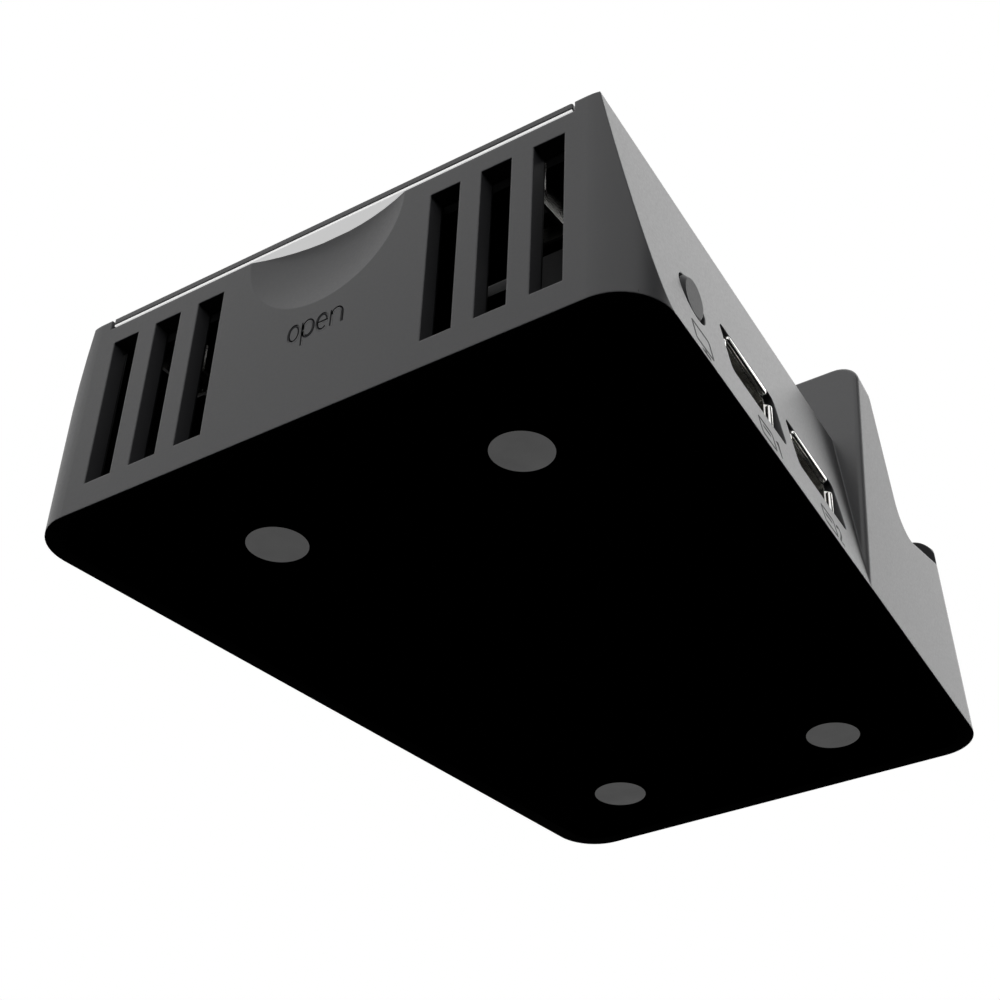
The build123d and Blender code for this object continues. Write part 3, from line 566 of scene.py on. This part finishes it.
def wordStrokes(values):
    # the word open in plain round letters
    w, low, high = values["width"] / 2, values["low"], values["high"]
    mid = (low + high) / 2
    h = (high - low) / 2
    first = [values["left"] + w + i * values["pitch"] for i in range(4)]
    o = [arc((first[0], mid), (w, h), start=90, end=450, steps=28)]
    x = first[1]
    p = [[(x - w, low - values["tail"]), (x - w, high)],
         [(x - w, mid)] + arc((x, mid), (w, h), start=170, end=-170, steps=24)]
    x = first[2]
    e = [[(x - w, mid), (x + w, mid)], arc((x, mid), (w, h), start=5, end=315, steps=26)]
    x = first[3]
    rise = values["shoulder"]
    n = [[(x - w, low), (x - w, high)],
         arc((x, mid + rise), (w, h - rise), start=165, end=0) + [(x + w, low)]]
    return o + p + e + n


addPiece("wordOpen", strokeMesh("wordOpen", wordStrokes(word), onRear, word["line"], word["proud"]),
         "base", markFinish)

# the drawings on the port side, in millimetres from the rear corner and above the table
sideMark = {"line": 0.4, "proud": 0.012, "low": 2.1, "high": 4.5, "rearStart": 29.3, "frontStart": 47.9,
            "width": 3.9, "corner": 0.35, "barFrom": 0.9, "barTo": 3.0, "barDrop": 0.85,
            "numberStart": 4.8, "numberWidth": 1.25, "hook": 0.55, "bowl": (0.6, 0.65)}


def frameStroke(left, right, low, high, corner):
    # a rounded frame as one closed stroke
    points = []
    for cx, cy, start in ((right - corner, high - corner, 0), (left + corner, high - corner, 90),
                          (left + corner, low + corner, 180), (right - corner, low + corner, 270)):
        points += arc((cx, cy), (corner, corner), start, start + 90, steps=5)
    return points + [points[0]]


def socketMark(start, number):
    # a small drawing of the socket and its number
    low, high = sideMark["low"], sideMark["high"]
    bar = high - sideMark["barDrop"]
    strokes = [frameStroke(start, start + sideMark["width"], low, high, sideMark["corner"]),
               [(start + sideMark["barFrom"], bar), (start + sideMark["barTo"], bar)]]
    left = start + sideMark["numberStart"]
    across, drop = sideMark["bowl"]
    if number == 1:
        strokes.append([(left, high - sideMark["hook"]), (left + across, high), (left + across, low)])
    else:
        bowl = arc((left + across, high - drop), sideMark["bowl"], start=165, end=-30, steps=10)
        strokes.append(bowl + [(left, low), (left + sideMark["numberWidth"], low)])
    return strokes


# a screen on its stand, beside the button
screen = {"left": 12.3, "right": 16.5, "low": 2.5, "high": 5.1, "corner": 0.3, "standLow": 1.75,
          "standLeft": 13.4, "standRight": 15.4, "stem": 14.4}
screenStrokes = [
    frameStroke(screen["left"], screen["right"], screen["low"], screen["high"], screen["corner"]),
    [(screen["standLeft"], screen["standLow"]), (screen["standRight"], screen["standLow"])],
    [(screen["stem"], screen["low"]), (screen["stem"], screen["standLow"])]]
# the side marks' strokes are painted near black, as painted shade
for name, strokes in (("portMarkRear", socketMark(sideMark["rearStart"], 1)),
                      ("portMarkFront", socketMark(sideMark["frontStart"], 2)),
                      ("screenMark", screenStrokes)):
    mesh = strokeMesh(name, strokes, onSide, sideMark["line"], sideMark["proud"])
    addPiece(name, mesh, "base", cutShadeFinish)
print("marks made")


# rows of contacts and springs
def extruded(name, outline, width):
    # a flat outline in x and z given a width along y
    count = len(outline)
    vertices = [(x, -width / 2, z) for x, z in outline] + [(x, width / 2, z) for x, z in outline]
    faces = [list(range(count)), list(range(2 * count - 1, count - 1, -1))]
    faces += [(i, i + count, (i + 1) % count + count, (i + 1) % count) for i in range(count)]
    return meshFrom(name, [Vector(v) * millimetre for v in vertices], faces)


def rowTree():
    # geometry nodes: copies of one piece in a row
    tree = bpy.data.node_groups.new("pieceRow", "GeometryNodeTree")
    for name, kind in (("Piece", "NodeSocketObject"), ("Count", "NodeSocketInt"),
                       ("Pitch", "NodeSocketFloat"), ("Material", "NodeSocketMaterial")):
        tree.interface.new_socket(name, in_out="INPUT", socket_type=kind)
    tree.interface.new_socket("Geometry", in_out="OUTPUT", socket_type="NodeSocketGeometry")
    given = addNode(tree, "NodeGroupInput")
    step = addNode(tree, "ShaderNodeCombineXYZ", links={"Y": given.outputs["Pitch"]})
    gaps = addNode(tree, "ShaderNodeMath", {"operation": "SUBTRACT"}, {1: 1.0}, {0: given.outputs["Count"]})
    back = addNode(tree, "ShaderNodeMath", {"operation": "MULTIPLY"},
                   links={0: gaps.outputs[0], 1: given.outputs["Pitch"]})
    startY = addNode(tree, "ShaderNodeMath", {"operation": "MULTIPLY"}, {1: -0.5}, {0: back.outputs[0]})
    start = addNode(tree, "ShaderNodeCombineXYZ", links={"Y": startY.outputs[0]})
    line = addNode(tree, "GeometryNodeMeshLine", {"mode": "OFFSET"}, links={
        "Count": given.outputs["Count"], "Start Location": start.outputs[0], "Offset": step.outputs[0]})
    piece = addNode(tree, "GeometryNodeObjectInfo", links={"Object": given.outputs["Piece"]})
    copies = addNode(tree, "GeometryNodeInstanceOnPoints", links={
        "Points": line.outputs["Mesh"], "Instance": piece.outputs["Geometry"]})
    real = addNode(tree, "GeometryNodeRealizeInstances", links={"Geometry": copies.outputs["Instances"]})
    painted = addNode(tree, "GeometryNodeSetMaterial", links={
        "Geometry": real.outputs["Geometry"], "Material": given.outputs["Material"]})
    addNode(tree, "NodeGroupOutput", links={"Geometry": painted.outputs["Geometry"]})
    return tree


rowNodes = rowTree()


def rowMesh(name, single, count, pitch, material, place):
    # the row's nodes are evaluated once, and the plain mesh is put in its place
    template = bpy.data.objects.new(name + "Template", single)
    holder = bpy.data.objects.new(name + "Row", bpy.data.meshes.new(name + "Row"))
    for item in (template, holder):
        bpy.context.scene.collection.objects.link(item)
    modifier = holder.modifiers.new("pieceRow", "NODES")
    modifier.node_group = rowNodes
    given = {"Piece": template, "Count": count, "Pitch": pitch * millimetre, "Material": material}
    for item in rowNodes.interface.items_tree:
        if item.in_out == "INPUT":
            modifier[item.identifier] = given[item.name]
    bpy.context.view_layer.update()
    mesh = bpy.data.meshes.new_from_object(holder.evaluated_get(bpy.context.evaluated_depsgraph_get()))
    holder.modifiers.clear()
    for item in (template, holder):
        bpy.data.objects.remove(item)
    mesh.transform(place)
    return mesh


def placed(origin, forward, across, up):
    # matrix that turns x, y and z into these directions
    columns = Matrix((forward, across, up)).transposed().to_4x4()
    return Matrix.Translation(origin) @ columns


# contacts, in millimetres: each is sunk a little in what carries it; the nose is a share of its size
contact = {"height": 0.14, "sink": 0.04, "noseHeight": 0.4, "noseLength": 0.12,
           "sideLength": 6.4, "sideWidth": 1.1, "sideCount": 4, "sidePitch": 2.3, "sideTip": 3.6,
           "videoLength": 5.0, "videoWidth": 0.45, "videoCounts": (10, 9), "videoPitch": 1.0,
           "powerLength": 3.4, "powerWidth": 0.24, "powerCounts": (12, 12), "powerPitch": 0.46,
           "baySetback": 0.4,
           "plugLength": 3.6, "plugWidth": 0.26, "plugHeight": 0.2, "plugCount": 12, "plugPitch": 0.5,
           "plugDrop": 1.2}


def contactBlade(name, length, width, height):
    # a strip with a ramped nose, x running into the socket
    ramp = [(0, 0), (0, height * contact["noseHeight"]), (length * contact["noseLength"], height),
            (length, height), (length, 0)]
    return extruded(name, ramp, width)


sink = contact["sink"] * millimetre
up = Vector((0, 0, 1))
rearward = Vector((0, 1, 0))
rightward = Vector((1, 0, 0))
for number in (1, 2):
    centre, low, high = boxCentre("port_tongue_" + str(number))
    tip = centre + sideOut * (contact["sideTip"] * millimetre)
    tip.z = low.z
    single = contactBlade("sideContact", contact["sideLength"], contact["sideWidth"], contact["height"])
    mesh = rowMesh("sideContacts", single, contact["sideCount"], contact["sidePitch"], goldFinish,
                   placed(tip + up * sink, -sideOut, sideForward, -up))
    addPiece("sideContacts" + str(number), mesh, "base", goldFinish)

# two leaf springs in each long wall of a side port, in millimetres
spring = {"length": 6.2, "width": 2.3, "thick": 0.2, "sink": 0.04, "upperBow": 0.22, "lowerBow": 0.42,
          "count": 2, "pitch": 6.6, "halfHeight": 2.5, "mouth": 6.1, "steps": 10, "run": 1.15}


def leafSpring(name, values, bow):
    # a strip bowed into the socket, as an outline along its run
    run = []
    for i in range(values["steps"] + 1):
        share = i / values["steps"]
        run.append((values["length"] * share, bow * math.sin(math.pi * min(1, share * values["run"])) ** 2))
    lower = [(x, z - values["sink"]) for x, z in run]
    upper = [(x, z + values["thick"]) for x, z in reversed(run)]
    return extruded(name, lower + upper, values["width"])


for number in (1, 2):
    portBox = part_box("side_port_" + str(number))
    mouth = boxCentre("port_tongue_" + str(number))[0] + sideOut * (spring["mouth"] * millimetre)
    mouth.z = (portBox[0][2] + portBox[1][2]) / 2
    rows = []
    for direction, bow in ((1, spring["upperBow"]), (-1, spring["lowerBow"])):
        origin = mouth + up * (direction * spring["halfHeight"] * millimetre)
        place = placed(origin, -sideOut, sideForward * direction, -up * direction)
        leaf = leafSpring("portSpring", spring, bow)
        rows.append(rowMesh("portSprings", leaf, spring["count"], spring["pitch"], steelFinish, place))
    addPiece("portSprings" + str(number), joinMeshes("portSprings", rows), "base", steelFinish)

# the rolled lips at a side port's mouth, in millimetres
lip = {"radius": 0.42, "out": 0.42, "long": 11.0, "short": 3.6, "pair": 2, "highPitch": 5.6,
       "widePitch": 13.2, "flare": 0.55, "halfWidth": 6.6, "sides": 16, "rings": 4}


def ringPoints(radius, z, count):
    # points round the z axis, given in millimetres
    angles = [2 * math.pi * k / count for k in range(count)]
    return [Vector((radius * math.cos(a), radius * math.sin(a), z)) * millimetre for a in angles]


def roundRod(name, length, values):
    # a rod along z with domed ends, the rolled edge of a stamped lip
    full = values["radius"]
    rings = [(0.0, -length / 2)]
    for i in range(1, values["rings"] + 1):
        angle = math.pi / 2 * i / values["rings"]
        rings.append((full * math.sin(angle), -length / 2 + full * (1 - math.cos(angle))))
    rings += [(radius, -z) for radius, z in reversed(rings)]
    n = values["sides"]
    vertices = [Vector((0, 0, rings[0][1])) * millimetre]
    for radius, z in rings[1:-1]:
        vertices += ringPoints(radius, z, n)
    vertices.append(Vector((0, 0, rings[-1][1])) * millimetre)
    faces = [(0, 1 + (k + 1) % n, 1 + k) for k in range(n)]
    for ring in range(len(rings) - 3):
        a = 1 + ring * n
        faces += [(a + k, a + (k + 1) % n, a + n + (k + 1) % n, a + n + k) for k in range(n)]
    last = 1 + (len(rings) - 3) * n
    faces += [(last + k, last + (k + 1) % n, len(vertices) - 1) for k in range(n)]
    mesh = meshFrom(name, vertices, faces)
    mesh.shade_smooth()
    return mesh


for number in (1, 2):
    low, high = (Vector(c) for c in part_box("side_port_" + str(number)))
    middle = boxCentre("port_tongue_" + str(number))[0]
    middle.z = (low.z + high.z) / 2
    reach = (middle.x - low.x) / -sideOut.x - lip["halfWidth"] * math.sin(side["taper"]) * millimetre
    mouth = middle + sideOut * (reach - (lip["flare"] - lip["out"]) * millimetre)
    rods = []
    for kind, pitch, row, run in (("long", lip["highPitch"], up, sideForward),
                                  ("short", lip["widePitch"], sideForward, up)):
        rod = roundRod(kind + "Lip", lip[kind], lip)
        place = placed(mouth, sideOut, row, run)
        rods.append(rowMesh("portLips", rod, lip["pair"], pitch, polishedFinish, place))
    addPiece("portLips" + str(number), joinMeshes("portLips", rods), "base", polishedFinish)

# upper and lower contacts of the two sockets in the bay
for kind in ("video", "power"):
    length, width, pitch = (contact[kind + value] for value in ("Length", "Width", "Pitch"))
    above, below = contact[kind + "Counts"]
    centre, low, high = boxCentre(kind + "_tongue")
    meshes = []
    for direction, count in ((1, above), (-1, below)):
        face = high.z if direction > 0 else low.z
        origin = Vector((centre.x, high.y - contact["baySetback"] * millimetre, face - direction * sink))
        place = placed(origin, -rearward, rightward * direction, up * direction)
        blade = contactBlade("bayContact", length, width, contact["height"])
        meshes.append(rowMesh(kind + "Contacts", blade, count, pitch, goldFinish, place))
    addPiece(kind + "Contacts", joinMeshes(kind + "Contacts", meshes), "base", goldFinish)

# the console plug in the slot: its place on the slot's floor and its inner half thickness, in millimetres
slot = {"root": (0, -28.2, 21.0), "lean": math.radians(16.5), "plugFrom": 8.6, "plugTop": 7.2,
        "inner": 0.925}
slotFloor = Vector((0, -math.cos(slot["lean"]), math.sin(slot["lean"])))
slotUp = Vector((0, math.sin(slot["lean"]), math.cos(slot["lean"])))
meshes = []
for direction in (1, -1):
    origin = Vector(slot["root"]) + slotFloor * (slot["plugFrom"] + direction * slot["inner"])
    origin += slotUp * (slot["plugTop"] - contact["plugDrop"])
    origin = origin * millimetre + slotFloor * (sink * direction)
    place = placed(origin, -slotUp, rightward * direction, -slotFloor * direction)
    blade = contactBlade("plugContact", contact["plugLength"], contact["plugWidth"], contact["plugHeight"])
    count, pitch = contact["plugCount"], contact["plugPitch"]
    meshes.append(rowMesh("plugContacts", blade, count, pitch, goldFinish, place))
addPiece("plugContacts", joinMeshes("plugContacts", meshes), "base", goldFinish)
print("contacts and springs made")

# the pale trim under the lid's edge, which reaches almost to the skin's edge; its finish carries painted
# glow, though it is no lamp
trimFrame = {"grow": 0.35, "width": 1.9, "round": 0.12, "roundMid": 0.036}


def guideMesh(values):
    # a frame of four mitred sides, its lower edges rounded
    low, high = (Vector(c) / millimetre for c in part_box("lid_trim"))
    slope = math.tan(side["taper"])
    rear, front = high.y + values["grow"], low.y
    profile = [(0, high.z), (0, low.z + values["round"]), (values["roundMid"], low.z + values["roundMid"]),
               (values["round"], low.z), (values["width"], low.z), (values["width"], high.z)]
    half = high.x + values["grow"]
    vertices = []
    for inset, z in profile:
        near, far = rear - inset, front + inset
        for sign, y in ((-1, near), (1, near), (1, far), (-1, far)):
            vertices.append(Vector((sign * (half - inset - (rear - y) * slope), y, z)) * millimetre)
    count = len(profile)
    faces = []
    for ring in range(count):
        a, b = ring * 4, (ring + 1) % count * 4
        faces += [(a + k, a + (k + 1) % 4, b + (k + 1) % 4, b + k) for k in range(4)]
    return meshFrom("lidLightGuide", vertices, faces)


glowTrimPiece = addPiece("lidLightGuide", guideMesh(trimFrame), "lid", trimFinish)
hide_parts("lid_trim")
print("light guide made")

# marks of the ejector pins on the lid's inner face
ejector = {"radius": 1.7, "top": 0.93, "height": 0.05, "count": 3, "pitch": 17.0, "x": 14.0, "sides": 28,
           "deckHeight": 27.4}


def pinMark(values):
    # a shallow disc with a rounded rim
    n, full, height = values["sides"], values["radius"], values["height"]
    vertices = []
    for radius, z in ((full, -height), (full, height / 2), (full * values["top"], height)):
        vertices += ringPoints(radius, z, n)
    faces = [list(range(2 * n, 3 * n)), list(range(n - 1, -1, -1))]
    for a in (0, n):
        faces += [(a + k, a + (k + 1) % n, a + n + (k + 1) % n, a + n + k) for k in range(n)]
    return meshFrom("pinMark", vertices, faces)


linerLow, linerHigh = (Vector(c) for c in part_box("lid_liner"))
meshes = []
for direction in (-1, 1):
    origin = Vector((direction * ejector["x"], 0, ejector["deckHeight"])) * millimetre
    origin.y = (linerLow.y + linerHigh.y) / 2
    place = placed(origin, rightward, -rearward, -up)
    mark = pinMark(ejector)
    meshes.append(rowMesh("pinMarks", mark, ejector["count"], ejector["pitch"], linerFinish, place))
addPiece("ejectorMarks", joinMeshes("ejectorMarks", meshes), "lid", linerFinish)
print("lid marks made")
